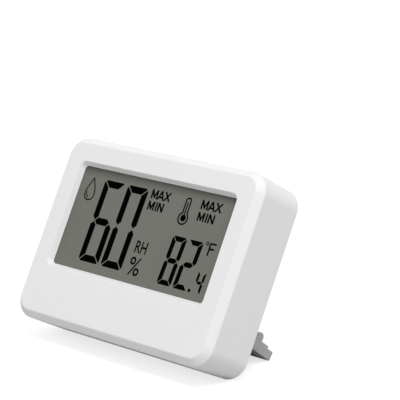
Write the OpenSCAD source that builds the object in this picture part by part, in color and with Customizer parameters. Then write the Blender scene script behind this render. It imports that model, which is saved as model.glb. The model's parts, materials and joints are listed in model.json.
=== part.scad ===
// Tabletop temperature and humidity sensor with a liquid crystal display and a folding stand.
// The case is drawn upright: X to the right, Y from the front face to the back, Z up from the case's middle.
// placed() then leans it back onto its rear bottom edge and the tip of the open stand.

/* [Case] */
// Width of the case
body_w = 60; // [56:0.5:72]
// Height of the case along its front face
body_h = 44.2; // [40:0.2:54]
// Depth of the case, front face to back face
body_d = 14.45; // [13:0.05:17]
// Corner radius of the case outline
corner_r = 5; // [4.2:0.1:7]
// Bevel round the front face
front_bevel = 1.55; // [0.6:0.05:2]
// Small bevel round the rear rim
rear_bevel = 0.1; // [0.1:0.05:0.4]
// How far each outer wall draws in from the front bevel to the back
wall_taper = 0.22; // [0:0.02:0.3]
// Thickness of the side walls
side_wall = 1.4; // [1.2:0.1:1.6]
// Thickness of the front wall, which is how deep the display lies
front_wall = 1.35; // [1:0.05:1.6]
// Thickness of the rear cover
cover_t = 1.4; // [1.2:0.1:1.6]
// Gap round a fixed piece that drops into another
fit_gap = 0.1; // [0.05:0.01:0.15]

/* [Display] */
// Case side to the side of the window opening
window_side = 5.8; // [5.4:0.1:8]
// Case top to the top of the window opening
window_top = 5.8; // [5.4:0.1:7]
// Case bottom to the bottom of the window opening
window_low = 12.8; // [12.4:0.1:15]
// Bevel round the window opening
window_bevel = 0.8; // [0.4:0.05:1]
// Corner radius of the visible display
view_r = 0.9; // [0.5:0.1:2]
// Glass beyond the visible display on the top and the sides
glass_border = 1.2; // [1:0.1:1.3]
// Contact ledge of the front glass below the rear glass
glass_ledge = 2.4; // [2.2:0.1:2.6]
// Thickness of each glass
glass_t = 0.9; // [0.7:0.05:1.1]
// Thickness of the front film
film_t = 0.2; // [0.1:0.05:0.3]
// Thickness of the rear reflector
reflector_t = 0.3; // [0.2:0.05:0.4]
// Thickness of the display frame's rim
frame_rim = 0.9; // [0.7:0.1:1]
// Width of the frame's lip behind the glass
lip_w = 4; // [3:0.5:6]
// Thickness of the frame's lip behind the glass
lip_t = 0.35; // [0.25:0.05:0.5]

/* [Board and cells] */
// Thickness of the circuit board
board_t = 1; // [0.8:0.1:1.2]
// Space between the circuit board and the cell well
board_clear = 0.3; // [0.2:0.05:0.5]
// Diameter of one button cell
cell_d = 11.6; // [10:0.1:11.6]
// Thickness of one button cell
cell_t = 5.4; // [4:0.1:5.4]
// Space left round the cells in their well
cell_gap = 0.2; // [0.1:0.05:0.3]
// Thickness of a spring contact
contact_t = 0.3; // [0.2:0.05:0.35]
// Floor thickness of the cell well
well_floor = 0.5; // [0.4:0.05:0.6]
// Wall thickness of the cell well and the stand pocket
well_wall = 0.9; // [0.8:0.05:1]
// Thickness of the battery door
door_t = 1.2; // [1:0.05:1.2]
// Ledge under each end of the battery door
door_ledge = 1.8; // [1.2:0.1:2]
// Gap round the battery door and the buttons
slide_gap = 0.15; // [0.1:0.01:0.2]

/* [Buttons] */
// Diameter of a button cap
button_d = 4.8; // [4:0.1:5]
// How far a button stands out of the back
button_proud = 0.5; // [0.4:0.05:0.8]
// Case side to the middle of a button
button_side = 9; // [8.5:0.1:10]
// Travel of a button
button_travel = 0.4; // [0.3:0.05:0.5]

/* [Stand] */
// Case side to the side of the stand
stand_side = 5.6; // [5:0.1:15]
// Space between the cell well and the case's top wall
well_clear = 0.55; // [0.3:0.05:1]
// Thickness of the stand
stand_t = 2.7; // [2.4:0.05:2.8]
// Slope of the open stand below the case's back direction
stand_slope = 9; // [5:0.5:12]
// Case bottom to the stand's pin
pin_up = 11.5; // [11.5:0.1:12]
// Diameter of the stand's pin
pin_d = 1.5; // [1.2:0.1:1.6]
// Running gap of the stand on its pin
pin_gap = 0.05; // [0.03:0.01:0.08]
// Gap between the stand and its pocket
pocket_gap = 0.35; // [0.3:0.05:0.4]
// Stand's tip to the far side of its cross rib
rib_back = 5.2; // [4:0.1:6]
// Width of the cross rib
rib_w = 2.3; // [1.8:0.1:2.5]
// Height of the cross rib
rib_h = 1.65; // [1.2:0.05:1.8]
// Length of the thinner tip
tip_l = 2.3; // [1.5:0.1:3]
// Step down to the thinner tip
tip_step = 0.5; // [0.2:0.05:0.7]
// Depth of the thumb notch in the tip
thumb_depth = 2.4; // [1:0.1:3]

/* [Vents] */
// Number of vent slots in the lower back
vent_count = 7; // [3:1:9]
// Distance between vent slots
vent_pitch = 2.6; // [2.2:0.1:3]
// Width of a vent slot
vent_w = 1.1; // [0.8:0.1:1.3]
// Height of a vent slot
vent_h = 5; // [3:0.1:5.5]

/* [Hidden] */
$fn = 48;
cut = 1;

// Inside of the case
inner_w = body_w - 2 * side_wall;
inner_h = body_h - 2 * side_wall;
inner_r = corner_r - side_wall;
cover_y = body_d - cover_t;

// Depth of the cells and the board, worked forwards from the back face
door_y = body_d - door_t;
cell_y = door_y - fit_gap - cell_t;
contact_y = cell_y - contact_t;
board_back = contact_y - well_floor - board_clear;
board_y = board_back - board_t;

// Depth of the display stack, worked back from the front face
film_y = front_wall;
front_glass_y = film_y + film_t;
rear_glass_y = front_glass_y + glass_t;
reflector_y = rear_glass_y + glass_t;
lip_y = reflector_y + reflector_t;

// Display edges
view_w = body_w - 2 * (window_side + window_bevel);
view_h = body_h - window_top - window_low - 2 * window_bevel;
view_z = body_h / 2 - window_top - window_bevel - view_h / 2;
glass_w = view_w + 2 * glass_border;
glass_top = view_z + view_h / 2 + glass_border;
rear_glass_low = view_z - view_h / 2 - glass_border;
glass_low = rear_glass_low - glass_ledge;
strip_gap = 0.25;
frame_w = glass_w + 2 * (fit_gap + frame_rim);
frame_top = glass_top + fit_gap + frame_rim;
frame_low = glass_low - fit_gap - frame_rim;

// Circuit board
board_edge_gap = 0.3;
board_w = inner_w - 2 * board_edge_gap;
board_top = inner_h / 2 - 3 * board_edge_gap;
board_low = frame_low - board_edge_gap;
board_r = inner_r - board_edge_gap;
tab_w = 11;
tab_clear = 2;
tab_low = tab_clear - inner_h / 2;
sensor_w = 5;
sensor_t = 1.3;
sensor_port_r = 1;
sensor_z = (tab_low + board_low) / 2;

// Board screws and their bosses on the side walls
board_boss_r = 1.2;
board_boss_x = inner_w / 2 - board_boss_r + fit_gap;
board_boss_z = [view_z + view_h / 3, view_z - view_h / 2];
board_screw_r = 0.5;
board_head_r = 1.05;
board_head_h = 0.7;
board_screw_l = 3.5;

// Case screws and their bosses in the lower corners
case_boss_r = 2.3;
case_boss_side = 1.6;
case_boss_up = 0.5;
case_boss_x = inner_w / 2 - case_boss_r - case_boss_side;
case_boss_z = case_boss_r + case_boss_up - inner_h / 2;
case_rib_t = 1;
case_screw_r = 0.95;
case_head_r = 1.8;
case_head_h = 1.05;
case_screw_l = 7;
case_seat_t = 1.2;
case_seat_y = body_d - case_head_h - fit_gap;
case_boss_y = case_seat_y - case_seat_t;
screw_gap = 0.06;

// Stand pin and pocket
pin_r = pin_d / 2;
stand_r = stand_t / 2;
stand_sunk = 0.65;
stand_w = body_w - 2 * stand_side;
pin_y = body_d - stand_r - stand_sunk;
pin_z = pin_up - body_h / 2;
well_h = cell_d + 2 * cell_gap;
stand_l = inner_h / 2 - well_clear - 2 * well_wall - well_h - pocket_gap - pin_z;
rib_start = stand_l - rib_back - rib_w;
thumb_r = 8.4;
open_gap = 0.4;
pocket_y = pin_y - stand_r - pocket_gap;
pocket_w = stand_w + 2 * pocket_gap;
pocket_low = pin_z - stand_r - pocket_gap - open_gap;
pocket_top = pin_z + stand_l + pocket_gap;
rib_reach = norm([rib_start + rib_w, stand_r + rib_h]);
groove_y = pin_y - stand_r - rib_h - pocket_gap;
groove_low = pin_z + rib_start - pocket_gap;
groove_top = pin_z + rib_reach + pocket_gap;
pin_hold = 0.7;
pin_end = 0.1;
pin_press = 0.01;
pin_l = pocket_w + 2 * (well_wall + pin_hold);

// Cell well and door
well_low = pocket_top + well_wall;
well_z = well_low + well_h / 2;
well_w = 2 * cell_d + 3 * cell_gap;
cell_x = (cell_d + cell_gap) / 2;
door_w = well_w + 2 * door_ledge;
well_outer_w = door_w + 2 * well_wall;
cell_step = 0.4;
cell_rim = 0.8;
contact_w = 7.7;
bridge_over = 3;
bridge_w = cell_d + cell_gap + 2 * bridge_over;
bridge_h = 5;
bridge_in = 0.05;
grip_w = 8;
grip_h = 0.8;
grip_pitch = 1.6;
grip_depth = 0.4;
grip_up = 2.4;

// Buttons
button_x = body_w / 2 - button_side;
button_z = well_z;
flange_t = 0.7;
flange_over = 0.7;
flange_r = button_d / 2 + flange_over;
button_dome = 0.3;
flange_y = cover_y - fit_gap - flange_t;
stem_r = 1.1;
switch_w = 4.5;
switch_h = 1.5;
stem_gap = 0.15;
stem_end = board_back + switch_h + button_travel + stem_gap;

// Small pieces on the board
chip_r = 4.5;
chip_h = 1.1;
chip_x = 8;
chip_z = groove_low;
can_r = 0.95;
can_l = 6;
can_foot_l = 0.4;
can_foot_in = 0.1;
can_x = 6;
can_z = (groove_top + pocket_top) / 2;
resistor = [1.6, 0.5, 0.8];
resistor_x = 4;
resistor_pitch = 2.4;
capacitor = [1.2, 0.7, 2];
capacitor_x = 15;
capacitor_pitch = 2.6;
part_drop = 2;
part_z = groove_low - part_drop;

// Rear cover tongues in the top wall
tongue_w = 5;
tongue_h = 2;
tongue_x = inner_w / 2 - corner_r - tongue_w / 2;
tongue_t = 1.2;
tongue_reach = 0.7;
tongue_y = cover_y - tongue_t;

// Lean on the stand: floor line through the rear bottom edge and the stand's lower tip corner
edge_y = body_d - rear_bevel;
edge_z = wall_taper - body_h / 2;
tip_y = pin_y + stand_l * cos(stand_slope) - stand_r * sin(stand_slope);
tip_z = pin_z - stand_l * sin(stand_slope) - stand_r * cos(stand_slope);
lean = atan2(tip_z - edge_z, tip_y - edge_y);
floor_z = edge_z * cos(lean) - edge_y * sin(lean);
front_reach = -(body_h / 2 - front_bevel) * sin(lean);
back_reach = body_d * cos(lean) + (body_h / 2 - wall_taper - rear_bevel) * sin(lean);

// Leans the upright part back and stands it on the floor with its box centred over the origin
module placed() {
    translate([0, -(front_reach + back_reach) / 2, -floor_z]) rotate([-lean, 0, 0]) children();
}

// Flat shape drawn in X and Z, given thickness from y0 back to y1
module slab(y0, y1) {
    translate([0, y1, 0]) rotate([90, 0, 0]) linear_extrude(y1 - y0) children();
}

// Flat shape drawn in Y and Z, given a width centred on X
module across(w) {
    translate([-w / 2, 0, 0]) rotate([90, 0, 90]) linear_extrude(w) children();
}

// Rounded rectangle with true arcs
module round_rect(w, h, r) {
    square([w - 2 * r, h], center = true);
    square([w, h - 2 * r], center = true);
    for (sx = [-1, 1], sz = [-1, 1])
        translate([sx * (w / 2 - r), sz * (h / 2 - r)]) circle(r);
}

// Rounded plate that grows by grow on every side between y0 and y1, with true cones at its corners
module bevel_plate(w, h, r, grow, y0, y1) {
    x0 = w / 2;
    z0 = h / 2;
    translate([0, 0, -(z0 - r)]) linear_extrude(h - 2 * r)
        polygon([[-x0, y0], [x0, y0], [x0 + grow, y1], [-x0 - grow, y1]]);
    across(w - 2 * r)
        polygon([[y0, -z0], [y0, z0], [y1, z0 + grow], [y1, -z0 - grow]]);
    for (sx = [-1, 1], sz = [-1, 1])
        translate([sx * (x0 - r), y0, sz * (z0 - r)])
            rotate([-90, 0, 0]) cylinder(h = y1 - y0, r1 = r, r2 = r + grow);
}

// Round bar along Y
module bar(x, z, r, y0, y1) {
    translate([x, y0, z]) rotate([-90, 0, 0]) cylinder(h = y1 - y0, r = r);
}

// Block given by its lowest and highest corners
module block(low, high) {
    translate(low) cube(high - low);
}

// Outside of the case: bevelled front, walls with a moulding taper and a fine bevel at the rear rim
module case_body() {
    bevel_plate(body_w - 2 * front_bevel, body_h - 2 * front_bevel, corner_r - front_bevel,
        front_bevel, 0, front_bevel);
    bevel_plate(body_w, body_h, corner_r, -wall_taper, front_bevel, body_d - rear_bevel);
    bevel_plate(body_w - 2 * wall_taper, body_h - 2 * wall_taper, corner_r - wall_taper,
        -rear_bevel, body_d - rear_bevel, body_d);
}

// Moulded tub: bevelled front, window, screw bosses and slots for the cover's tongues
module front_case() color("whitesmoke") placed() {
    difference() {
        case_body();
        slab(front_wall, body_d + cut) round_rect(inner_w, inner_h, inner_r);
        translate([0, 0, view_z])
            bevel_plate(view_w + 2 * window_bevel, view_h + 2 * window_bevel, view_r + window_bevel,
                -window_bevel, 0, front_wall);
        for (sx = [-1, 1])
            block([sx * tongue_x - tongue_w / 2 - fit_gap, tongue_y - fit_gap, inner_h / 2 - cut],
                [sx * tongue_x + tongue_w / 2 + fit_gap, cover_y, inner_h / 2 + tongue_reach + fit_gap]);
    }
    for (sx = [-1, 1]) {
        for (z = board_boss_z)
            difference() {
                bar(sx * board_boss_x, z, board_boss_r, front_wall, board_y);
                bar(sx * board_boss_x, z, board_screw_r + screw_gap, front_wall, board_y + cut);
            }
        difference() {
            union() {
                bar(sx * case_boss_x, case_boss_z, case_boss_r, front_wall, case_boss_y);
                block([sx * case_boss_x - case_rib_t / 2, front_wall, -inner_h / 2],
                    [sx * case_boss_x + case_rib_t / 2, case_boss_y, case_boss_z - case_boss_r / 2]);
            }
            bar(sx * case_boss_x, case_boss_z, case_screw_r + screw_gap, front_wall, case_boss_y + cut);
        }
    }
}

// Round-ended vent slots in the lower back
module vents() {
    z = (-inner_h / 2 + pocket_low - well_wall) / 2;
    for (i = [0 : vent_count - 1])
        translate([(i - (vent_count - 1) / 2) * vent_pitch, z]) {
            square([vent_w, vent_h - vent_w], center = true);
            for (s = [-1, 1])
                translate([0, s * (vent_h - vent_w) / 2]) circle(d = vent_w);
        }
}

module cover_solid() {
    slab(cover_y, body_d)
        round_rect(inner_w - 2 * fit_gap, inner_h - 2 * fit_gap, inner_r - fit_gap);
    block([-pocket_w / 2 - well_wall, pocket_y - well_wall, pocket_low - well_wall],
        [pocket_w / 2 + well_wall, cover_y, well_low]);
    block([-pocket_w / 2 - well_wall, groove_y - well_wall, groove_low - well_wall],
        [pocket_w / 2 + well_wall, pocket_y, groove_top + well_wall]);
    block([-well_outer_w / 2, contact_y - well_floor, pocket_top],
        [well_outer_w / 2, cover_y, well_low + well_h + well_wall]);
    for (sx = [-1, 1]) {
        bar(sx * case_boss_x, case_boss_z, case_boss_r, case_boss_y, cover_y);
        block([sx * tongue_x - tongue_w / 2, tongue_y, inner_h / 2 - fit_gap - tongue_h],
            [sx * tongue_x + tongue_w / 2, cover_y, inner_h / 2 + tongue_reach - fit_gap]);
    }
}

// Rear cover: stand pocket, cell well, button holes, vents and screw seats in one moulding
module rear_cover() color("gainsboro") placed()
    difference() {
        cover_solid();
        block([-pocket_w / 2, pocket_y, pocket_low], [pocket_w / 2, body_d + cut, pocket_top]);
        block([-pocket_w / 2, groove_y, groove_low], [pocket_w / 2, pocket_y + cut, groove_top]);
        block([-well_w / 2, contact_y, well_low], [well_w / 2, body_d + cut, well_low + well_h]);
        block([-door_w / 2, door_y, well_low], [door_w / 2, body_d + cut, well_low + well_h]);
        slab(cover_y - cut, body_d + cut) vents();
        translate([-pin_l / 2, pin_y, pin_z]) rotate([0, 90, 0]) cylinder(h = pin_l, r = pin_r + pin_press);
        for (sx = [-1, 1]) {
            bar(sx * button_x, button_z, button_d / 2 + slide_gap, cover_y - cut, body_d + cut);
            bar(sx * case_boss_x, case_boss_z, case_screw_r + screw_gap, case_boss_y - cut, body_d + cut);
            bar(sx * case_boss_x, case_boss_z, case_head_r + fit_gap, case_seat_y, body_d + cut);
        }
    }

// Sheet of the display stack between two heights
module display_sheet(w, low, high, y0, t) {
    block([-w / 2, y0, low], [w / 2, y0 + t, high]);
}

module lcd_front_film() color("#70726B") placed()
    display_sheet(glass_w - 2 * strip_gap, rear_glass_low, glass_top - strip_gap, film_y, film_t);

module lcd_front_glass() color("lightcyan") placed()
    display_sheet(glass_w, glass_low, glass_top, front_glass_y, glass_t);

module lcd_rear_glass() color("lightcyan") placed()
    display_sheet(glass_w, rear_glass_low, glass_top, rear_glass_y, glass_t);

module lcd_reflector() color("silver") placed()
    display_sheet(glass_w - 2 * strip_gap, rear_glass_low, glass_top - strip_gap, reflector_y, reflector_t);

// Frame round the glass: a lip behind it and rims that stand on the board, with a slot for the strip
module lcd_frame() color("white") placed()
    difference() {
        block([-frame_w / 2, front_wall, frame_low], [frame_w / 2, board_y, frame_top]);
        block([-glass_w / 2 - fit_gap, front_wall - cut, glass_low - fit_gap],
            [glass_w / 2 + fit_gap, lip_y, glass_top + fit_gap]);
        block([-glass_w / 2 - fit_gap, lip_y + lip_t, glass_low - fit_gap],
            [glass_w / 2 + fit_gap, board_y + cut, glass_top + fit_gap]);
        block([-glass_w / 2 - fit_gap, front_wall, glass_low - fit_gap],
            [glass_w / 2 + fit_gap, board_y + cut, rear_glass_low]);
        block([-view_w / 2 + lip_w, lip_y - cut, rear_glass_low + lip_w],
            [view_w / 2 - lip_w, board_y + cut, glass_top - lip_w]);
    }

// Rubber strip of carbon layers between the front glass's ledge and the board
module contact_strip() color("dimgray") placed()
    block([-view_w / 2 + strip_gap, rear_glass_y, glass_low + strip_gap],
        [view_w / 2 - strip_gap, board_y, rear_glass_low - strip_gap]);

module circuit_board() color("darkgreen") placed()
    difference() {
        union() {
            slab(board_y, board_back)
                translate([0, (board_top + board_low) / 2])
                    round_rect(board_w, board_top - board_low, board_r);
            block([-tab_w / 2, board_y, tab_low], [tab_w / 2, board_back, board_low + cut]);
        }
        for (sx = [-1, 1], z = board_boss_z)
            bar(sx * board_boss_x, z, board_screw_r + screw_gap, board_y - cut, board_back + cut);
    }

// Low dome of epoxy over the bonded chip, turned from a quarter of an ellipse
module chip_cap() color("#202020") placed() {
    arc = [for (a = [0 : 15 : 90]) [chip_r * cos(a), chip_h * sin(a)]];
    translate([-chip_x, board_back, chip_z]) rotate([-90, 0, 0])
        rotate_extrude() polygon(concat([[0, 0]], arc));
}

// Sensor body with its round air port towards the vents
module humidity_sensor() color("ivory") placed()
    difference() {
        block([-sensor_w / 2, board_back, sensor_z - sensor_w / 2],
            [sensor_w / 2, board_back + sensor_t, sensor_z + sensor_w / 2]);
        bar(0, sensor_z, sensor_port_r, board_back + sensor_t / 2, board_back + sensor_t + cut);
    }

// Metal can crystal lying on the board
module quartz_crystal() color("silver") placed()
    translate([can_x, board_back + can_r, can_z]) rotate([0, 90, 0]) {
        cylinder(h = can_l, r = can_r);
        translate([0, 0, -can_foot_l]) cylinder(h = 2 * can_foot_l, r = can_r - can_foot_in);
    }

// Chip resistors and capacitors in two rows
module board_components() color("#9A8060") placed() {
    for (i = [0 : 5])
        translate([resistor_x + i * resistor_pitch, board_back, part_z]) cube(resistor);
    for (i = [0 : 3])
        translate([-capacitor_x - i * capacitor_pitch, board_back, part_z]) cube(capacitor);
}

module key_switches() color("#303030") placed()
    for (sx = [-1, 1])
        translate([sx * button_x - switch_w / 2, board_back, button_z - switch_w / 2])
            cube([switch_w, switch_h, switch_w]);

// Button: domed cap, flange behind the cover and stem down to its switch
module button(x) {
    cap_r = button_d / 2;
    dome_y = body_d + button_proud - button_dome;
    bar(x, button_z, cap_r, flange_y + flange_t, dome_y);
    translate([x, dome_y, button_z])
        rotate([-90, 0, 0]) cylinder(h = button_dome, r1 = cap_r, r2 = cap_r - button_dome);
    bar(x, button_z, flange_r, flange_y, flange_y + flange_t);
    bar(x, button_z, stem_r, stem_end, flange_y);
}

module units_button() color("gray") placed() button(-button_x);

module memory_button() color("gray") placed() button(button_x);

// Two button cells side by side, each with its stepped edge
module button_cells() color("silver") placed()
    for (sx = [-1, 1]) {
        bar(sx * cell_x, well_z, cell_d / 2 - cell_rim, cell_y, cell_y + cell_step);
        bar(sx * cell_x, well_z, cell_d / 2, cell_y + cell_step, cell_y + cell_t);
    }

module cell_contacts() color("goldenrod") placed()
    for (sx = [-1, 1])
        block([sx * cell_x - contact_w / 2, contact_y, well_z - contact_w / 2],
            [sx * cell_x + contact_w / 2, cell_y, well_z + contact_w / 2]);

// Lift-off door with finger grooves and a seat for its contact bar
module battery_door() color("gainsboro") placed()
    difference() {
        block([-door_w / 2 + slide_gap, door_y, well_low + slide_gap],
            [door_w / 2 - slide_gap, body_d, well_low + well_h - slide_gap]);
        for (i = [-1, 0, 1])
            translate([0, 0, well_z + grip_up + i * grip_pitch])
                block([-grip_w / 2, body_d - grip_depth, -grip_h / 2],
                    [grip_w / 2, body_d + cut, grip_h / 2]);
        block([-bridge_w / 2, door_y - cut, well_z - bridge_h / 2],
            [bridge_w / 2, door_y + contact_t - bridge_in, well_z + bridge_h / 2]);
    }

module door_contact() color("goldenrod") placed()
    block([-bridge_w / 2 + bridge_in, door_y - bridge_in, well_z - bridge_h / 2 + bridge_in],
        [bridge_w / 2 - bridge_in, door_y + contact_t - bridge_in, well_z + bridge_h / 2 - bridge_in]);

// Side view of the stand: u runs from the pin to the tip, v is up when the stand is open
module stand_profile() {
    circle(stand_r);
    translate([0, -stand_r]) square([stand_l - tip_l, stand_t]);
    translate([0, -stand_r]) square([stand_l, stand_t - tip_step]);
    translate([rib_start, 0]) square([rib_w, stand_r + rib_h - rib_w / 2]);
    translate([rib_start + rib_w / 2, stand_r + rib_h - rib_w / 2]) circle(rib_w / 2);
}

// Folding stand: a wide plate on a barrel, with a cross rib, a stepped tip and a thumb notch
module stand_leg() color("#8F8F8F") placed()
    translate([0, pin_y, pin_z]) rotate([-stand_slope, 0, 0])
        difference() {
            across(stand_w) stand_profile();
            translate([-stand_w, 0, 0]) rotate([0, 90, 0]) cylinder(h = 2 * stand_w, r = pin_r + pin_gap);
            translate([0, stand_l + thumb_r - thumb_depth, -stand_t]) cylinder(h = 2 * stand_t, r = thumb_r);
        }

module stand_pin() color("silver") placed()
    translate([pin_end - pin_l / 2, pin_y, pin_z])
        rotate([0, 90, 0]) cylinder(h = pin_l - 2 * pin_end, r = pin_r);

// Screw with a flat head and a cross recess, head outwards at y
module screw(x, z, shank_r, shank_l, head_r, head_h, y) {
    slot = head_r / 3;
    difference() {
        union() {
            bar(x, z, shank_r, y - shank_l, y);
            bar(x, z, head_r, y, y + head_h);
        }
        for (a = [0, 90])
            translate([x, y + head_h, z]) rotate([0, a, 0])
                cube([1.3 * head_r, head_h, slot], center = true);
    }
}

module case_screws() color("silver") placed()
    for (sx = [-1, 1])
        screw(sx * case_boss_x, case_boss_z, case_screw_r, case_screw_l, case_head_r, case_head_h, case_seat_y);

module board_screws() color("silver") placed()
    for (sx = [-1, 1], z = board_boss_z)
        screw(sx * board_boss_x, z, board_screw_r, board_screw_l, board_head_r, board_head_h, board_back);

front_case();
rear_cover();
lcd_front_film();
lcd_front_glass();
lcd_rear_glass();
lcd_reflector();
lcd_frame();
contact_strip();
circuit_board();
chip_cap();
humidity_sensor();
quartz_crystal();
board_components();
key_switches();
units_button();
memory_button();
button_cells();
cell_contacts();
battery_door();
door_contact();
stand_leg();
stand_pin();
case_screws();
board_screws();
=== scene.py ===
# %% [markdown]
# This lesson dresses a small desktop sensor for temperature and humidity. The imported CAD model
# comes in as a fixed frame: a white case that leans back on a folding stand, with its display,
# board, cells and buttons. We soften its moulded edges, draw the display's signs and give every
# piece the surface of its real material.

# %% Load the frame
import json
import math

import bmesh
import bpy
from mathutils import Matrix, Vector

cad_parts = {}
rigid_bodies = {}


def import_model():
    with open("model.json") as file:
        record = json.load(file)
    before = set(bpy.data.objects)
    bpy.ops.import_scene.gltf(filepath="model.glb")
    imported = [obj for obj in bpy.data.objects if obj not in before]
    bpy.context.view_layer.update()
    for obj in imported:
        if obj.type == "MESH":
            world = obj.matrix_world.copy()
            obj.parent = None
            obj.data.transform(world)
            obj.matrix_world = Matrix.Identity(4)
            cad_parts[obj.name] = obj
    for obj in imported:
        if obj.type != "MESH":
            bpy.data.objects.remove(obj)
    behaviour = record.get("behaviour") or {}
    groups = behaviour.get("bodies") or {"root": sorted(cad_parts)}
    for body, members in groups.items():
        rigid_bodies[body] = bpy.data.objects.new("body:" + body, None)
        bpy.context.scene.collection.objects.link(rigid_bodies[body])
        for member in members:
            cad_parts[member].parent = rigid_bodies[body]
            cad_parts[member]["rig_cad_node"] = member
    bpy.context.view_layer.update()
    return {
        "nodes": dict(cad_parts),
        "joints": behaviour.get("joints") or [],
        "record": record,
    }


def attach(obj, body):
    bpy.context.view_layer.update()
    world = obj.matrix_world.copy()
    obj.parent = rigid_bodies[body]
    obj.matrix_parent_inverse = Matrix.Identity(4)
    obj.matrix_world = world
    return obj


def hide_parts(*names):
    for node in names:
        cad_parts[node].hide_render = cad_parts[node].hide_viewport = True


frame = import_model()
MM = 0.001

# %% [markdown]
# The case leans back, so its front isn't square to Blender's axes. It is easier to think in the
# case's own directions: X to the right, Y from the front face to the back, Z up, in millimetres
# from the middle of the front. The battery door lifts straight off the back, so its joint gives
# the Y direction, and the stand's pin is a point whose place in the case is known.

# %% The case's own axes
CASE_DEPTH = 14.45
PIN_SPOT = Vector((0, 12.45, -10.6))
joints = {j["name"]: j for j in frame["joints"]}
back = Vector(joints["door_lift"]["axis"]).normalized()
right = Vector((1, 0, 0))
turn = Matrix((right, back, right.cross(back))).transposed().to_4x4()
middle = Vector(joints["stand_fold"]["pos_m"]) - turn @ (PIN_SPOT * MM)
CASE = Matrix.Translation(middle) @ turn @ Matrix.Scale(MM, 4)
TO_CASE = CASE.inverted()
print("lean in degrees:", round(math.degrees(math.acos(back.y)), 2))

# %% [markdown]
# The camera stands to the right of the unit and a little above it, far enough away that the
# sides of the case hardly converge. Its place and its small roll came from matching the corners
# of the case and the display. A long lens on the usual 36 mm sensor gives the framing.

# %% Camera
CAMERA_SPOT = Vector((264.14, -277.77, 127.53)) * MM
CAMERA_TARGET = Vector((10.227, 3.827, 36.259)) * MM
CAMERA_ROLL = math.radians(0.755)
camera = bpy.data.objects.new("camera", bpy.data.cameras.new("camera"))
bpy.context.scene.collection.objects.link(camera)
looking = (CAMERA_TARGET - CAMERA_SPOT).normalized()
level = looking.cross(Vector((0, 0, 1))).normalized()
above = level.cross(looking)
sideways = level * math.cos(CAMERA_ROLL) + above * math.sin(CAMERA_ROLL)
axes = Matrix((sideways, sideways.cross(looking), -looking)).transposed().to_4x4()
camera.matrix_world = Matrix.Translation(CAMERA_SPOT) @ axes
camera.data.lens = 158.23
camera.data.sensor_width = 36
camera.data.clip_start = 0.01
bpy.context.scene.camera = camera
print("camera distance in mm:", round((CAMERA_TARGET - CAMERA_SPOT).length / MM))

# %% [markdown]
# A node tree is a list of nodes, their settings and their links. One small helper adds a node,
# so that each material below reads as a recipe. Colours are written as the hex values that a
# picture shows, and one function turns them into the linear values that Blender works with. The
# Mix node has sockets for every kind of data: its colours are inputs 6 and 7 and output 2.

# %% Colour and node helpers
MIX_A, MIX_B, MIX_OUT = 6, 7, 2


def linear(code):
    parts = [int(code[i:i + 2], 16) / 255 for i in (1, 3, 5)]
    return tuple(p / 12.92 if p <= 0.04045 else ((p + 0.055) / 1.055) ** 2.4 for p in parts) + (1,)


def per_mm(size):
    return 1 / (size * MM)


def add(tree, kind, inputs=None, **settings):
    node = tree.nodes.new(kind)
    for key, value in settings.items():
        setattr(node, key, value)
    for key, value in (inputs or {}).items():
        if isinstance(value, bpy.types.NodeSocket):
            tree.links.new(value, node.inputs[key])
        else:
            node.inputs[key].default_value = value
    return node


def start(name):
    material = bpy.data.materials.new(name)
    material.use_nodes = True
    material.node_tree.nodes.clear()
    tree = material.node_tree
    return material, tree, add(tree, "ShaderNodeTexCoord").outputs["Object"]


print("mid grey in linear light:", [round(p, 3) for p in linear("#808080")])

# %% [markdown]
# The case is white ABS from a mould whose steel was spark eroded, which leaves a fine even
# grain: the plastic looks matt, with a soft wide highlight on its bevels. The real grain is
# about 0.1 mm, too fine for the picture, so it is drawn at 0.3 mm. Faint clouds of 14 mm keep
# the large faces from looking dead flat. The stand and the buttons are the same plastic in grey.
# The display's frame and the black epoxy of small parts inside come from moulds with a like
# surface, so one recipe serves them all.

# %% Moulded plastics
CLOUD, GRAIN, GRAIN_DEPTH = 14, 0.3, 0.05
SHEEN = 0.06


def moulded_finish(name, light, dark, roughness, grain=GRAIN):
    material, tree, place = start(name)
    cloudy = add(tree, "ShaderNodeTexNoise", {"Vector": place, "Scale": per_mm(CLOUD), "Detail": 2.0})
    tint = add(tree, "ShaderNodeMix", {
        "Factor": cloudy.outputs["Fac"], MIX_A: linear(light), MIX_B: linear(dark)}, data_type="RGBA")
    sparks = add(tree, "ShaderNodeTexNoise", {"Vector": place, "Scale": per_mm(grain), "Detail": 3.0})
    sheen = add(tree, "ShaderNodeMapRange", {
        "Value": sparks.outputs["Fac"], "To Min": roughness - SHEEN, "To Max": roughness + SHEEN})
    bump = add(tree, "ShaderNodeBump", {
        "Height": sparks.outputs["Fac"], "Strength": 0.6, "Distance": GRAIN_DEPTH * MM})
    shader = add(tree, "ShaderNodeBsdfPrincipled", {
        "Base Color": tint.outputs[MIX_OUT], "Roughness": sheen.outputs["Result"],
        "Normal": bump.outputs["Normal"], "IOR": 1.54})
    add(tree, "ShaderNodeOutputMaterial", {"Surface": shader.outputs[0]})
    return material


white_abs = moulded_finish("white_moulded_abs", "#F3F3F3", "#EFEFEF", 0.5)
grey_abs = moulded_finish("grey_moulded_abs", "#B5B5B5", "#ADADAD", 0.45)
button_abs = moulded_finish("button_grey_abs", "#8E9091", "#888A8B", 0.42)
frame_abs = moulded_finish("frame_white_abs", "#EDEDEA", "#E7E7E3", 0.4)
black_epoxy = moulded_finish("black_moulded_epoxy", "#1C1C1C", "#161616", 0.4)
print("moulded plastics:", white_abs.name, grey_abs.name, button_abs.name, frame_abs.name)

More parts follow.
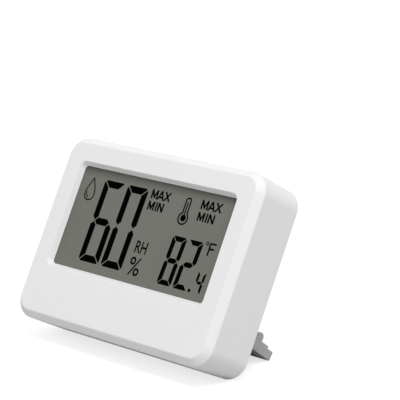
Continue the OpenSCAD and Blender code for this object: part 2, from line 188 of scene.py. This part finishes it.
# %% [markdown]
# The display's front is a polariser film with a matt anti-glare coat. With nothing switched on
# it passes about a third of the light to the reflector and back, so it looks a greenish grey.
# The reflector lies 2 mm behind the film's face, where the window's upper edge keeps light from
# it: the display darkens over its top 2 mm, and a little along its other edges. That shade falls
# on the layers below the film, so it is painted into the film's colour as painted shade, by place
# in the case: over each distance below, the light falls to the share in the last column.

# %% Painted shade along the display's edges
VIEW_SIDE, VIEW_LOW, VIEW_TOP = 23.4, -8.5, 15.5
film, tree, place = start("anti_glare_polariser")
to_place, to_turn, to_size = TO_CASE.decompose()
in_case = add(tree, "ShaderNodeMapping", {
    "Vector": place, "Location": to_place, "Rotation": to_turn.to_euler(), "Scale": to_size})
spot = add(tree, "ShaderNodeSeparateXYZ", {"Vector": in_case.outputs["Vector"]})
aside = add(tree, "ShaderNodeMath", {0: spot.outputs["X"]}, operation="ABSOLUTE")
shades = ((spot.outputs["Z"], VIEW_TOP - 2.2, VIEW_TOP - 0.1, 0.5),
          (spot.outputs["Z"], VIEW_LOW + 0.5, VIEW_LOW + 0.1, 0.9),
          (aside.outputs[0], VIEW_SIDE - 2.4, VIEW_SIDE - 0.7, 0.94),
          (aside.outputs[0], VIEW_SIDE - 0.7, VIEW_SIDE - 0.2, 0.88))
light = None
for distance, begin, end, left_over in shades:
    fade = add(tree, "ShaderNodeMapRange", {
        "Value": distance, "From Min": begin, "From Max": end, "To Min": 1.0, "To Max": left_over})
    light = fade if light is None else add(
        tree, "ShaderNodeMath", {0: light.outputs[0], 1: fade.outputs[0]}, operation="MULTIPLY")
print("shades along the display's edges:", len(shades))

# %% [markdown]
# The anti-glare coat scatters what it mirrors, so the film shows no clear reflection. Its grit
# is finer than a tenth of a millimetre and is drawn at 0.25 mm, as a shallow bump.

# %% Display film
FILM_CLOUD, GRIT, GRIT_DEPTH = 22, 0.25, 0.01
cloudy = add(tree, "ShaderNodeTexNoise", {"Vector": place, "Scale": per_mm(FILM_CLOUD), "Detail": 1.0})
tint = add(tree, "ShaderNodeMix", {
    "Factor": cloudy.outputs["Fac"], MIX_A: linear("#74766F"), MIX_B: linear("#707269")},
    data_type="RGBA")
# The film's tint is darkened by the painted shade along the window's edges.
shaded = add(tree, "ShaderNodeMix", {
    "Factor": 1.0, MIX_A: tint.outputs[MIX_OUT], MIX_B: light.outputs[0]},
    data_type="RGBA", blend_type="MULTIPLY")
grit = add(tree, "ShaderNodeTexNoise", {"Vector": place, "Scale": per_mm(GRIT), "Detail": 2.0})
bump = add(tree, "ShaderNodeBump", {
    "Height": grit.outputs["Fac"], "Strength": 0.15, "Distance": GRIT_DEPTH * MM})
shader = add(tree, "ShaderNodeBsdfPrincipled", {
    "Base Color": shaded.outputs[MIX_OUT], "Roughness": 0.42, "Normal": bump.outputs["Normal"],
    "IOR": 1.49, "Specular IOR Level": 0.2})
add(tree, "ShaderNodeOutputMaterial", {"Surface": shader.outputs[0]})
print("display film:", film.name)

# %% [markdown]
# A switched segment turns the light so that the polariser blocks it, and shows as near black
# under the same coat. It has no mirror light of its own, so its specular level is zero.

# %% Switched segments
segment_black, tree, place = start("switched_liquid_crystal")
grit = add(tree, "ShaderNodeTexNoise", {"Vector": place, "Scale": per_mm(GRIT), "Detail": 2.0})
tint = add(tree, "ShaderNodeMix", {
    "Factor": grit.outputs["Fac"], MIX_A: linear("#030303"), MIX_B: linear("#060605")},
    data_type="RGBA")
shader = add(tree, "ShaderNodeBsdfPrincipled", {
    "Base Color": tint.outputs[MIX_OUT], "Roughness": 0.5, "IOR": 1.49, "Specular IOR Level": 0.0})
add(tree, "ShaderNodeOutputMaterial", {"Surface": shader.outputs[0]})
print("segments:", segment_black.name)

# %% [markdown]
# Metal inside is thin plating on steel. Nickel on the cells, contacts and crystal is warm and
# satin, rubbed a little unevenly. Zinc on the screws and the pin is cooler and cloudier, because
# it grows as small crystals. The reflector is plain aluminium foil. All are full metals, with
# patterns of 0.6 to 1.2 mm in their colour and sheen.

# %% Metals
RUBBING = 0.08


def metal_finish(name, light, dark, roughness, grain):
    material, tree, place = start(name)
    cloudy = add(tree, "ShaderNodeTexNoise", {"Vector": place, "Scale": per_mm(grain), "Detail": 4.0})
    tint = add(tree, "ShaderNodeMix", {
        "Factor": cloudy.outputs["Fac"], MIX_A: linear(light), MIX_B: linear(dark)}, data_type="RGBA")
    rubbed = add(tree, "ShaderNodeMapRange", {
        "Value": cloudy.outputs["Fac"], "To Min": roughness - RUBBING, "To Max": roughness + RUBBING})
    shader = add(tree, "ShaderNodeBsdfPrincipled", {
        "Base Color": tint.outputs[MIX_OUT], "Roughness": rubbed.outputs["Result"], "Metallic": 1.0})
    add(tree, "ShaderNodeOutputMaterial", {"Surface": shader.outputs[0]})
    return material


nickel = metal_finish("nickel_plated_steel", "#DEDCD8", "#D2CFCA", 0.24, 1.2)
zinc = metal_finish("zinc_plated_steel", "#C9CBCE", "#AEB1B5", 0.34, 0.6)
foil = metal_finish("aluminium_foil", "#DADBDC", "#CBCCCE", 0.4, 0.8)
print("metals:", nickel.name, zinc.name, foil.name)

# %% [markdown]
# The display glass is clear float glass with a faint green cast. The circuit board is glass
# fibre laminate under green solder mask: the copper tracks below the mask show as slightly
# lighter lines about 0.4 mm wide, here the joints of a brick pattern.

# %% Glass and board
TRACK_PITCH, TRACK_RISE = 4, 0.03
glass, tree, place = start("float_glass")
shader = add(tree, "ShaderNodeBsdfPrincipled", {
    "Base Color": linear("#E9F2EE"), "Roughness": 0.03, "IOR": 1.52, "Transmission Weight": 1.0})
add(tree, "ShaderNodeOutputMaterial", {"Surface": shader.outputs[0]})

board, tree, place = start("solder_masked_laminate")
flat = add(tree, "ShaderNodeMapping", {"Vector": place, "Rotation": (math.radians(90), 0, 0)})
tracks = add(tree, "ShaderNodeTexBrick", {
    "Vector": flat.outputs["Vector"], "Scale": per_mm(TRACK_PITCH), "Color1": linear("#1E5A33"),
    "Color2": linear("#1A5230"), "Mortar": linear("#2C7A47"), "Mortar Size": 0.05})
bump = add(tree, "ShaderNodeBump", {
    "Height": tracks.outputs["Fac"], "Strength": 0.3, "Distance": TRACK_RISE * MM})
shader = add(tree, "ShaderNodeBsdfPrincipled", {
    "Base Color": tracks.outputs["Color"], "Roughness": 0.28, "Normal": bump.outputs["Normal"]})
add(tree, "ShaderNodeOutputMaterial", {"Surface": shader.outputs[0]})
print("display glass and board:", glass.name, board.name)

# %% [markdown]
# The rubber contact strip is made of thin layers, clear and carbon black in turn. On the real
# one they are 0.1 to 0.2 mm apart, and they are drawn 1.26 mm apart so that they can be seen.
# The wave texture turns by 20 radians over one unit, so its scale is worked out from a full
# turn. The sensor's cream housing and the tan chips are moulded like the plastics above.

# %% Rubber strip, sensor and chips
LAYER_PITCH, WAVE_TURN = 1.2566, 20
strip, tree, place = start("layered_silicone_rubber")
layers = add(tree, "ShaderNodeTexWave", {
    "Vector": place, "Scale": math.tau / WAVE_TURN * per_mm(LAYER_PITCH)}, bands_direction="X")
tint = add(tree, "ShaderNodeMix", {
    "Factor": layers.outputs["Fac"], MIX_A: linear("#2A2A2A"), MIX_B: linear("#B9B7B0")},
    data_type="RGBA")
shader = add(tree, "ShaderNodeBsdfPrincipled", {"Base Color": tint.outputs[MIX_OUT], "Roughness": 0.6})
add(tree, "ShaderNodeOutputMaterial", {"Surface": shader.outputs[0]})

cream = moulded_finish("cream_polymer", "#E8E0CB", "#DED5BE", 0.5)
ceramic = moulded_finish("tan_chip_ceramic", "#A98A63", "#8E7350", 0.45, grain=0.2)
print("small finishes:", strip.name, cream.name, ceramic.name)

# %% [markdown]
# Every CAD piece names a slot in the record, and each slot now has its material. Assigning by
# slot keeps pieces of one plastic alike. The CAD meshes themselves stay untouched.

# %% Finishes by slot
SLOT_FINISH = {
    "case_white": white_abs, "stand_grey": grey_abs, "button_grey": button_abs,
    "display_film": film, "clear_glass": glass, "reflector_foil": foil, "frame_white": frame_abs,
    "strip_rubber": strip, "board_green": board, "moulded_black": black_epoxy,
    "sensor_cream": cream, "chip_tan": ceramic, "nickel_plate": nickel, "zinc_steel": zinc}
slot_of = {p["node"]: p["material_slot"] for p in frame["record"]["subparts"]}
body_of = {n: b for b, names in frame["record"]["behaviour"]["bodies"].items() for n in names}


def dress(piece, material):
    piece.data.materials.clear()
    piece.data.materials.append(material)


for node, piece in frame["nodes"].items():
    dress(piece, SLOT_FINISH[slot_of[node]])
print("dressed CAD pieces:", len(frame["nodes"]))

# %% [markdown]
# No moulded edge is knife sharp. Light catches on the small round of every edge, and that thin
# bright line tells the eye that it looks at plastic. A bevel modifier would shrink every bevel
# to the smallest feature of the piece, so the piece is merged and opened in edit mode, its sharp
# edges are picked by place, and only those are bevelled. Each round is given by its width, its
# steps and a test of place. Without loop slide the rounds stay even where edges of the flat
# faces run into them.

# %% Rounded edges
MERGE = 0.001 * MM
FLAT, SHARP, SMOOTH = math.radians(0.5), math.radians(25), math.radians(40)


def pick_only(*pieces):
    bpy.ops.object.select_all(action="DESELECT")
    for piece in pieces:
        piece.select_set(True)
    bpy.context.view_layer.objects.active = pieces[0]


def round_edges(piece, rounds):
    pick_only(piece)
    bpy.ops.object.mode_set(mode="EDIT")
    bpy.ops.mesh.select_mode(type="EDGE")
    bpy.ops.mesh.select_all(action="SELECT")
    bpy.ops.mesh.remove_doubles(threshold=MERGE)
    bpy.ops.mesh.dissolve_limited(angle_limit=FLAT)
    for width, steps, wanted in rounds:
        shape = bmesh.from_edit_mesh(piece.data)
        for edge in shape.edges:
            sharp = edge.calc_face_angle(0) > SHARP
            edge.select_set(sharp and all(wanted(TO_CASE @ v.co) for v in edge.verts))
        bmesh.update_edit_mesh(piece.data)
        bpy.ops.mesh.bevel(offset=width * MM, segments=steps, affect="EDGES", clamp_overlap=False,
                           loop_slide=False)
    bpy.ops.object.mode_set(mode="OBJECT")


print("edges are rounded from", round(math.degrees(SHARP)), "degrees up")

# %% [markdown]
# A soft copy takes the place of its CAD piece: it rides on the same body and keeps its slot. The
# normals that came with the CAD mesh no longer fit after the bevels, so they are cleared, and
# weighted normals then keep the flat faces flat beside the rounds.

# %% Soft copies of the shells
def soft_copy(node, rounds):
    source = frame["nodes"][node]
    piece = source.copy()
    piece.data = source.data.copy()
    piece.parent = None
    del piece["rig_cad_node"]
    piece.name = node + "_moulding"
    bpy.context.scene.collection.objects.link(piece)
    round_edges(piece, rounds)
    bpy.ops.mesh.customdata_custom_splitnormals_clear()
    bpy.ops.object.shade_smooth_by_angle(angle=SMOOTH)
    weights = piece.modifiers.new("weights", "WEIGHTED_NORMAL")
    weights.keep_sharp = True
    bpy.ops.object.modifier_apply(modifier=weights.name)
    dress(piece, SLOT_FINISH[slot_of[node]])
    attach(piece, body_of[node])
    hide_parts(node)
    print(piece.name, "faces:", len(piece.data.polygons))


print("bodies to ride on:", sorted(set(body_of.values())))

# %% [markdown]
# The front case has larger rounds on its outside, along both edges of the wide bevel, and finer
# ones on the window's rim, which looks crisper on the real unit. A point counts as outside on
# the front face and within half a millimetre of the case's outline. Edges inside the tub stay as
# they are, because nothing shows them.

# %% Front case
FRONT_BEVEL, FRONT_WALL = 1.55, 1.35
CASE_SIDE, CASE_TOP, CASE_CORNER = 30, 22.1, 5
OUTER_ROUND, WINDOW_ROUND = 0.22, 0.12
SKIN, WINDOW_REACH, SLACK = 0.5, 1.6, 0.05


def near_window(p):
    in_width = abs(p.x) <= VIEW_SIDE + WINDOW_REACH
    return in_width and VIEW_LOW - WINDOW_REACH <= p.z <= VIEW_TOP + WINDOW_REACH


def on_outside(p):
    sideward = max(abs(p.x) - CASE_SIDE + CASE_CORNER, 0)
    upward = max(abs(p.z) - CASE_TOP + CASE_CORNER, 0)
    return p.y < SLACK or math.hypot(sideward, upward) > CASE_CORNER - SKIN


soft_copy("front_case", [
    (OUTER_ROUND, 3, lambda p: p.y < FRONT_BEVEL + SLACK and on_outside(p) and not near_window(p)),
    (WINDOW_ROUND, 2, lambda p: p.y < SLACK and near_window(p))])

# %% [markdown]
# The back is seen when the unit is turned round, so the rear cover, the battery door, the
# buttons and the stand get the same care. The stand, which fingers pull out, has the largest
# rounds, and the edges beside the door's thin gap are finer. The step near the stand's tip runs
# out in the thumb notch, where a round would fold over itself, so its last slivers stay sharp.

# %% Back, door, buttons and stand
BACK_FACE = CASE_DEPTH - 0.02
BACK_ROUND, BUTTON_ROUND, STAND_ROUND = 0.12, 0.1, 0.18
NOTCH_SIDE, STEP_FROM, STEP_TO, STEP_LOW = 3.3, 26.5, 27, -12.5


def on_step_at_notch(p):
    return abs(p.x) < NOTCH_SIDE and STEP_FROM < p.y < STEP_TO and p.z > STEP_LOW


for shell in ("rear_cover", "battery_door"):
    soft_copy(shell, [(BACK_ROUND, 2, lambda p: p.y > BACK_FACE)])
for button in ("units_button", "memory_button"):
    soft_copy(button, [(BUTTON_ROUND, 2, lambda p: p.y > CASE_DEPTH)])
soft_copy("stand_leg", [(STAND_ROUND, 2, lambda p: not on_step_at_notch(p))])

# %% [markdown]
# The display's signs are drawn flat in millimetres, X to the right and Y up, as on a drawing
# board. They could be painted into the film's colour, but thin pieces of their own stay crisp at
# any size. A stroke starts as a plane, given by its left, right, lower and upper sides, and
# bisect cuts it to shape.

# %% Drawing board
def stroke(left, right, low, high):
    bpy.ops.object.select_all(action="DESELECT")
    bpy.ops.mesh.primitive_plane_add(size=1)
    piece = bpy.context.object
    piece.location = ((left + right) / 2, (low + high) / 2, 0)
    piece.scale = (right - left, high - low, 1)
    bpy.ops.object.transform_apply(location=True, rotation=False, scale=True)
    return piece


def disc(x, y, radius, corners=28):
    bpy.ops.object.select_all(action="DESELECT")
    bpy.ops.mesh.primitive_circle_add(
        vertices=corners, radius=radius, fill_type="NGON", location=(x, y, 0))
    bpy.ops.object.transform_apply(location=True, rotation=False, scale=False)
    return bpy.context.object


def trim(piece, point, away):
    pick_only(piece)
    bpy.ops.object.mode_set(mode="EDIT")
    bpy.ops.mesh.select_all(action="SELECT")
    bpy.ops.mesh.bisect(plane_co=(*point, 0), plane_no=(*away, 0), clear_outer=True)
    bpy.ops.object.mode_set(mode="OBJECT")


print("the board in mm:", 2 * VIEW_SIDE, "by", VIEW_TOP - VIEW_LOW)

# %% [markdown]
# A finished drawing is extruded by a hair, so that it has a front and sides, joined with the
# drawings that belong to it, stood up on the film and given to the case.

# %% From the board to the display
INK = 0.02
JOIN_GAP = 0.0001
SIGNS = CASE @ Matrix.Translation((0, FRONT_WALL, 0)) @ Matrix.Rotation(math.radians(90), 4, "X")


def thicken(piece, low=0.0, high=INK):
    pick_only(piece)
    bpy.ops.object.mode_set(mode="EDIT")
    bpy.ops.mesh.select_all(action="SELECT")
    bpy.ops.mesh.remove_doubles(threshold=JOIN_GAP)
    bpy.ops.transform.translate(value=(0, 0, low))
    bpy.ops.mesh.extrude_region_move(TRANSFORM_OT_translate={"value": (0, 0, high - low)})
    bpy.ops.mesh.select_all(action="SELECT")
    bpy.ops.mesh.normals_make_consistent(inside=False)
    bpy.ops.object.mode_set(mode="OBJECT")
    return piece


def join(*pieces):
    pick_only(*pieces)
    bpy.ops.object.join()
    return bpy.context.object


def show(piece, name):
    pick_only(piece)
    piece.name = name
    piece.matrix_world = SIGNS
    bpy.ops.object.transform_apply(location=True, rotation=True, scale=True)
    dress(piece, segment_black)
    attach(piece, "case")
    print(name, "faces:", len(piece.data.polygons))


print("ink in mm:", INK)

# %% [markdown]
# A figure on such a display has seven segments, named a to g: a is the top bar, b and c the
# right-hand ones, d the bottom, e and f the left-hand ones and g the middle. Neighbours meet in
# mitres with a hairline gap. Each segment is a stroke whose ends are cut by bisect along those
# mitres, with the figure's outer corners cut blunt, and the whole figure is then slanted a little.

# %% Seven-segment figures
LIT = {"0": "abcdef", "2": "abdeg", "4": "bcfg", "6": "acdefg", "8": "abcdefg"}
BLUNT = 0.42


def figure(sign, left, right, low, high, wide, gap, slant):
    mid = (low + high) / 2
    half = wide / 2
    blunt = BLUNT * wide
    shift = gap / 2 * math.sqrt(0.5)
    made = []
    for letter in LIT[sign]:
        if letter in "adg":
            base = {"a": high - wide, "d": low, "g": mid - half}[letter]
            bar = stroke(left, right, base, base + wide)
            for side, edge in ((1, left), (-1, right)):
                if letter == "g":
                    for way in (1, -1):
                        trim(bar, (edge + side * (half + 2 * shift), mid), (-side, way))
                else:
                    corner, way = (high, -1) if letter == "a" else (low, 1)
                    trim(bar, (edge + side * shift, corner - way * shift), (-side, way))
                    trim(bar, (edge + side * blunt, corner), (-side, -way))
        else:
            side, edge = (1, left) if letter in "ef" else (-1, right)
            foot, top = (mid, high) if letter in "bf" else (low, mid)
            bar = stroke(min(edge, edge + side * wide), max(edge, edge + side * wide), foot, top)
            corner, way = (high, 1) if letter in "bf" else (low, -1)
            trim(bar, (edge - side * shift, corner - way * shift), (side, way))
            trim(bar, (edge + side * blunt, corner), (-side, way))
            for lean in (1, -1):
                trim(bar, (edge + side * half, mid + way * 2 * shift), (lean, -way))
        made.append(bar)
    piece = thicken(join(*made))
    tilt = Matrix.Identity(4)
    tilt[0][1] = math.tan(math.radians(slant))
    tilt[0][3] = -tilt[0][1] * mid
    piece.data.transform(tilt)
    return piece


print("figures:", " ".join(LIT))

# %% [markdown]
# The humidity has two large figures, and the temperature two smaller ones with a point and a
# tiny figure for its tenths. Their places were measured on the display.

# %% Humidity and temperature
LARGE = {"low": -6.28, "high": 13.22, "wide": 1.63, "gap": 0.25}
SMALL = {"wide": 1.15, "gap": 0.18, "slant": 2.3}
show(join(figure("6", -16.07, -9.61, slant=0.6, **LARGE),
          figure("0", -8.82, -2.33, slant=1.0, **LARGE)), "humidity_figures")
show(join(figure("8", 8.99, 13.16, -6.8, 4.44, **SMALL),
          figure("2", 13.79, 17.96, -6.83, 4.42, **SMALL)), "temperature_figures")
show(join(figure("4", 19.35, 21.6, -6.85, -1.85, wide=0.63, gap=0.12, slant=3.0),
          thicken(disc(18.45, -6.45, radius=0.4, corners=16))), "temperature_tenths")

# %% [markdown]
# The words beside the figures are plain capitals. Blender's own font suits the thin ones: a word
# is typed, its outline is offset to the weight of its stroke, and as a mesh it is fitted to its
# measured box.

# %% Thin words
def word(letters, left, right, low, high, weight):
    bpy.ops.object.select_all(action="DESELECT")
    bpy.ops.object.text_add()
    bpy.context.object.data.body = letters
    bpy.context.object.data.offset = weight
    bpy.ops.object.convert(target="MESH")
    piece = bpy.context.object
    xs = [v.co.x for v in piece.data.vertices]
    ys = [v.co.y for v in piece.data.vertices]
    piece.scale = ((right - left) / (max(xs) - min(xs)), (high - low) / (max(ys) - min(ys)), 1)
    piece.location = (left - min(xs) * piece.scale.x, low - min(ys) * piece.scale.y, 0)
    bpy.ops.object.transform_apply(location=True, rotation=False, scale=True)
    return thicken(piece)


show(join(word("RH", -0.5, 2.95, -1.4, 1.4, weight=0.011),
          word("%", -0.6, 2.8, -6.6, -2.35, weight=0.003)), "humidity_unit")

# %% [markdown]
# MAX, MIN and F are far bolder than that font, so their letters are built from straight strokes.
# A stroke runs from one point of the letter's box to another, both given as shares of the box.
# It is cut off at the box's sides, and booleans join a letter's strokes to one outline.

# %% Bold letters
STROKES = {
    "M": [(0, 0, 0, 1), (0, 1, 0.5, 0.2), (0.5, 0.2, 1, 1), (1, 1, 1, 0)],
    "A": [(0, 0, 0.5, 1), (0.5, 1, 1, 0), (0.2, 0.3, 0.8, 0.3)],
    "X": [(0, 0, 1, 1), (0, 1, 1, 0)],
    "I": [(0.5, 0, 0.5, 1)],
    "N": [(0, 0, 0, 1), (0, 1, 1, 0), (1, 0, 1, 1)],
    "F": [(0, 0, 0, 1), (0, 0.94, 1, 0.94), (0, 0.52, 0.8, 0.52)]}


def combine(piece, other, operation):
    pick_only(piece)
    change = piece.modifiers.new("combine", "BOOLEAN")
    change.operation = operation
    change.object = other
    bpy.ops.object.modifier_apply(modifier=change.name)
    bpy.data.objects.remove(other)
    return piece


def bold(letter, left, right, low, high, wide):
    whole = None
    for x0, y0, x1, y1 in STROKES[letter]:
        first = Vector((left + wide / 2 + x0 * (right - left - wide), low + y0 * (high - low)))
        last = Vector((left + wide / 2 + x1 * (right - left - wide), low + y1 * (high - low)))
        way = last - first
        ends = [wide if y in (0, 1) else wide / 2 for y in (y0, y1)]
        bar = stroke(-way.length / 2 - ends[0], way.length / 2 + ends[1], -wide / 2, wide / 2)
        bar.rotation_euler.z = math.atan2(way.y, way.x)
        bar.location = (*((first + last) / 2), 0)
        bpy.ops.object.transform_apply(location=True, rotation=True, scale=False)
        for point, away in (((left, low), (-1, 0)), ((left, low), (0, -1)),
                            ((right, high), (1, 0)), ((right, high), (0, 1))):
            trim(bar, point, away)
        whole = combine(whole, thicken(bar), "UNION") if whole else thicken(bar)
    return whole


print("bold letters:", " ".join(STROKES))

# %% [markdown]
# The same two words stand beside both readings. Each letter takes its share of the word's width:
# the I is a single stroke, and the A and the X of MAX overlap a little.

# %% Bold words
LETTER_SHARES = {
    "MAX": ((0, 0.335), (0.335, 0.68), (0.665, 1)),
    "MIN": ((0, 0.41), (0.485, 0.585), (0.635, 1))}
BOLD_STROKE = 0.43


def bold_word(letters, left, right, low, high):
    wide = right - left
    made = []
    for letter, (first, last) in zip(letters, LETTER_SHARES[letters]):
        made.append(bold(letter, left + first * wide, left + last * wide, low, high, BOLD_STROKE))
    return join(*made)


show(join(bold_word("MAX", -1.04, 4.76, 11.36, 13.5),
          bold_word("MIN", -1.02, 3.66, 8.67, 10.77)), "humidity_limit_words")
show(join(bold_word("MAX", 13.96, 20.02, 11.48, 13.62),
          bold_word("MIN", 13.98, 18.86, 8.72, 10.81)), "temperature_limit_words")

# %% [markdown]
# A water drop marks the humidity. It is a disc whose top is pulled to a point with proportional
# editing and then inset to an outline. About a quarter of a ring inside it is the glint on the
# water.

# %% Drop
DROP_X, DROP_Y, DROP_RADIUS, DROP_LINE = -19.55, 9.15, 1.6, 0.3
DROP_PULL, DROP_REACH = (-0.06, 2.55, 0), 2.7
GLINT, GLINT_RADIUS, GLINT_LINE = (-19.58, 9.25), 1.0, 0.26


def outline(piece, width):
    pick_only(piece)
    bpy.ops.object.mode_set(mode="EDIT")
    bpy.ops.mesh.select_mode(type="FACE")
    bpy.ops.mesh.select_all(action="SELECT")
    bpy.ops.mesh.inset(thickness=width)
    bpy.ops.mesh.delete(type="FACE")
    bpy.ops.object.mode_set(mode="OBJECT")
    return piece


drop = disc(DROP_X, DROP_Y, DROP_RADIUS)
bpy.ops.object.mode_set(mode="EDIT")
shape = bmesh.from_edit_mesh(drop.data)
for vertex in shape.verts:
    vertex.select_set(vertex.co.y > DROP_Y + DROP_RADIUS - 0.01)
bmesh.update_edit_mesh(drop.data)
bpy.ops.transform.translate(value=DROP_PULL, use_proportional_edit=True,
                            proportional_edit_falloff="SHARP", proportional_size=DROP_REACH)
bpy.ops.object.mode_set(mode="OBJECT")
glint = outline(disc(*GLINT, GLINT_RADIUS, corners=24), GLINT_LINE)
trim(glint, GLINT, (0.5, 1))
trim(glint, GLINT, (1, -0.2))
show(join(thicken(outline(drop, DROP_LINE)), thicken(glint)), "drop_sign")

# %% [markdown]
# A thermometer marks the temperature. It is a bulb, a tube and a round cap joined by booleans,
# with a smaller copy of itself cut out of it, so that its line is equally wide all round. The
# liquid in it is a disc with a thin column.

# %% Thermometer
BULB, BULB_RADIUS = (10.08, 8.52), 1.52
CAP, CAP_RADIUS = (10.18, 12.6), 0.85
TUBE_LEFT, TUBE_RIGHT, TUBE_FOOT, TUBE_LINE = 9.33, 11.03, 8.6, 0.36
LIQUID, LIQUID_RADIUS = (10.14, 8.62), 0.78
COLUMN_LEFT, COLUMN_RIGHT, COLUMN_TOP = 9.98, 10.3, 12.3


def thermometer(grow, low, high):
    bulb = thicken(disc(*BULB, BULB_RADIUS + grow), low, high)
    tube = thicken(stroke(TUBE_LEFT - grow, TUBE_RIGHT + grow, TUBE_FOOT, CAP[1]), low, high)
    cap = thicken(disc(*CAP, CAP_RADIUS + grow), low, high)
    return combine(combine(bulb, tube, "UNION"), cap, "UNION")


walls = combine(thermometer(0, 0, INK), thermometer(-TUBE_LINE, -INK, 2 * INK), "DIFFERENCE")
column = thicken(stroke(COLUMN_LEFT, COLUMN_RIGHT, TUBE_FOOT, COLUMN_TOP))
liquid = combine(thicken(disc(*LIQUID, LIQUID_RADIUS)), column, "UNION")
show(join(walls, liquid), "thermometer_sign")

# %% [markdown]
# The degree sign is a small ring, inset from a disc, beside a capital F of the bold kind.

# %% Degree sign
RING, RING_RADIUS, RING_LINE = (19.25, 4.45), 0.45, 0.22
F_STROKE = 0.42
show(join(thicken(outline(disc(*RING, RING_RADIUS, corners=16), RING_LINE)),
          bold("F", 19.92, 21.8, 1.8, 4.75, F_STROKE)), "degree_unit")

# %% [markdown]
# The studio's floor is plain pale card with a faint tooth. For camera rays it also glows, so that
# it fades into the white background and still keeps the unit's soft shadow, with no more light on
# the unit itself.

# %% Floor
FLOOR_TOOTH, FLOOR_GLOW = 3, 0.7
WHITE = (1, 1, 1, 1)
bpy.ops.object.select_all(action="DESELECT")
bpy.ops.mesh.primitive_plane_add(size=2)
floor = bpy.context.object
floor.name = "floor"
card, tree, place = start("pale_floor")
tooth = add(tree, "ShaderNodeTexNoise", {"Vector": place, "Scale": per_mm(FLOOR_TOOTH), "Detail": 2.0})
tint = add(tree, "ShaderNodeMix", {
    "Factor": tooth.outputs["Fac"], MIX_A: linear("#CACACA"), MIX_B: linear("#C6C6C6")},
    data_type="RGBA")
matt = add(tree, "ShaderNodeBsdfDiffuse", {"Color": tint.outputs[MIX_OUT]})
path = add(tree, "ShaderNodeLightPath")
glow = add(tree, "ShaderNodeEmission", {"Color": WHITE, "Strength": FLOOR_GLOW})
bright = add(tree, "ShaderNodeAddShader", {0: matt.outputs[0], 1: glow.outputs[0]})
shader = add(tree, "ShaderNodeMixShader", {
    "Fac": path.outputs["Is Camera Ray"], 1: matt.outputs[0], 2: bright.outputs[0]})
add(tree, "ShaderNodeOutputMaterial", {"Surface": shader.outputs[0]})
dress(floor, card)
print("floor size in m:", tuple(round(d, 2) for d in floor.dimensions))

# %% [markdown]
# An even sky fills the shadows. Camera, glossy and transmission rays see a plain white sky
# instead, so the background is white, and metal and glass show it too.

# %% Sky
SKY_LIGHT = 0.58
sky = bpy.data.worlds.new("studio_sky")
sky.use_nodes = True
sky.node_tree.nodes.clear()
tree = sky.node_tree
path = add(tree, "ShaderNodeLightPath")
straight = add(tree, "ShaderNodeMath", {
    0: path.outputs["Is Camera Ray"], 1: path.outputs["Is Glossy Ray"]}, operation="MAXIMUM")
seen = add(tree, "ShaderNodeMath", {
    0: straight.outputs[0], 1: path.outputs["Is Transmission Ray"]}, operation="MAXIMUM")
even = add(tree, "ShaderNodeBackground", {"Color": WHITE, "Strength": SKY_LIGHT})
plain = add(tree, "ShaderNodeBackground", {"Color": WHITE, "Strength": 1.0})
mixed = add(tree, "ShaderNodeMixShader", {
    "Fac": seen.outputs[0], 1: even.outputs[0], 2: plain.outputs[0]})
add(tree, "ShaderNodeOutputWorld", {"Surface": mixed.outputs[0]})
bpy.context.scene.world = sky
bpy.context.scene.view_settings.view_transform = "Standard"
print("sky for the object:", SKY_LIGHT)

# %% [markdown]
# One large soft lamp stands above the unit's right shoulder. The bevels tell where it has to be:
# the top one is brightest, then the right one, then the front face, and the lower one is darkest.

# %% Lamp
LAMP_WAY, LAMP_DISTANCE = Vector((0.396, -0.286, 0.872)), 1.2
LAMP_AIM = Vector((0, 0, 0.02))
lamp = bpy.data.objects.new("soft_lamp", bpy.data.lights.new("soft_lamp", "AREA"))
bpy.context.scene.collection.objects.link(lamp)
lamp.data.shape = "DISK"
lamp.data.size = 0.5
lamp.data.energy = 7.1
lamp.matrix_world = (Matrix.Translation(LAMP_AIM + LAMP_WAY * LAMP_DISTANCE)
                     @ LAMP_WAY.to_track_quat("Z", "Y").to_matrix().to_4x4())
print("lamp in W:", lamp.data.energy)
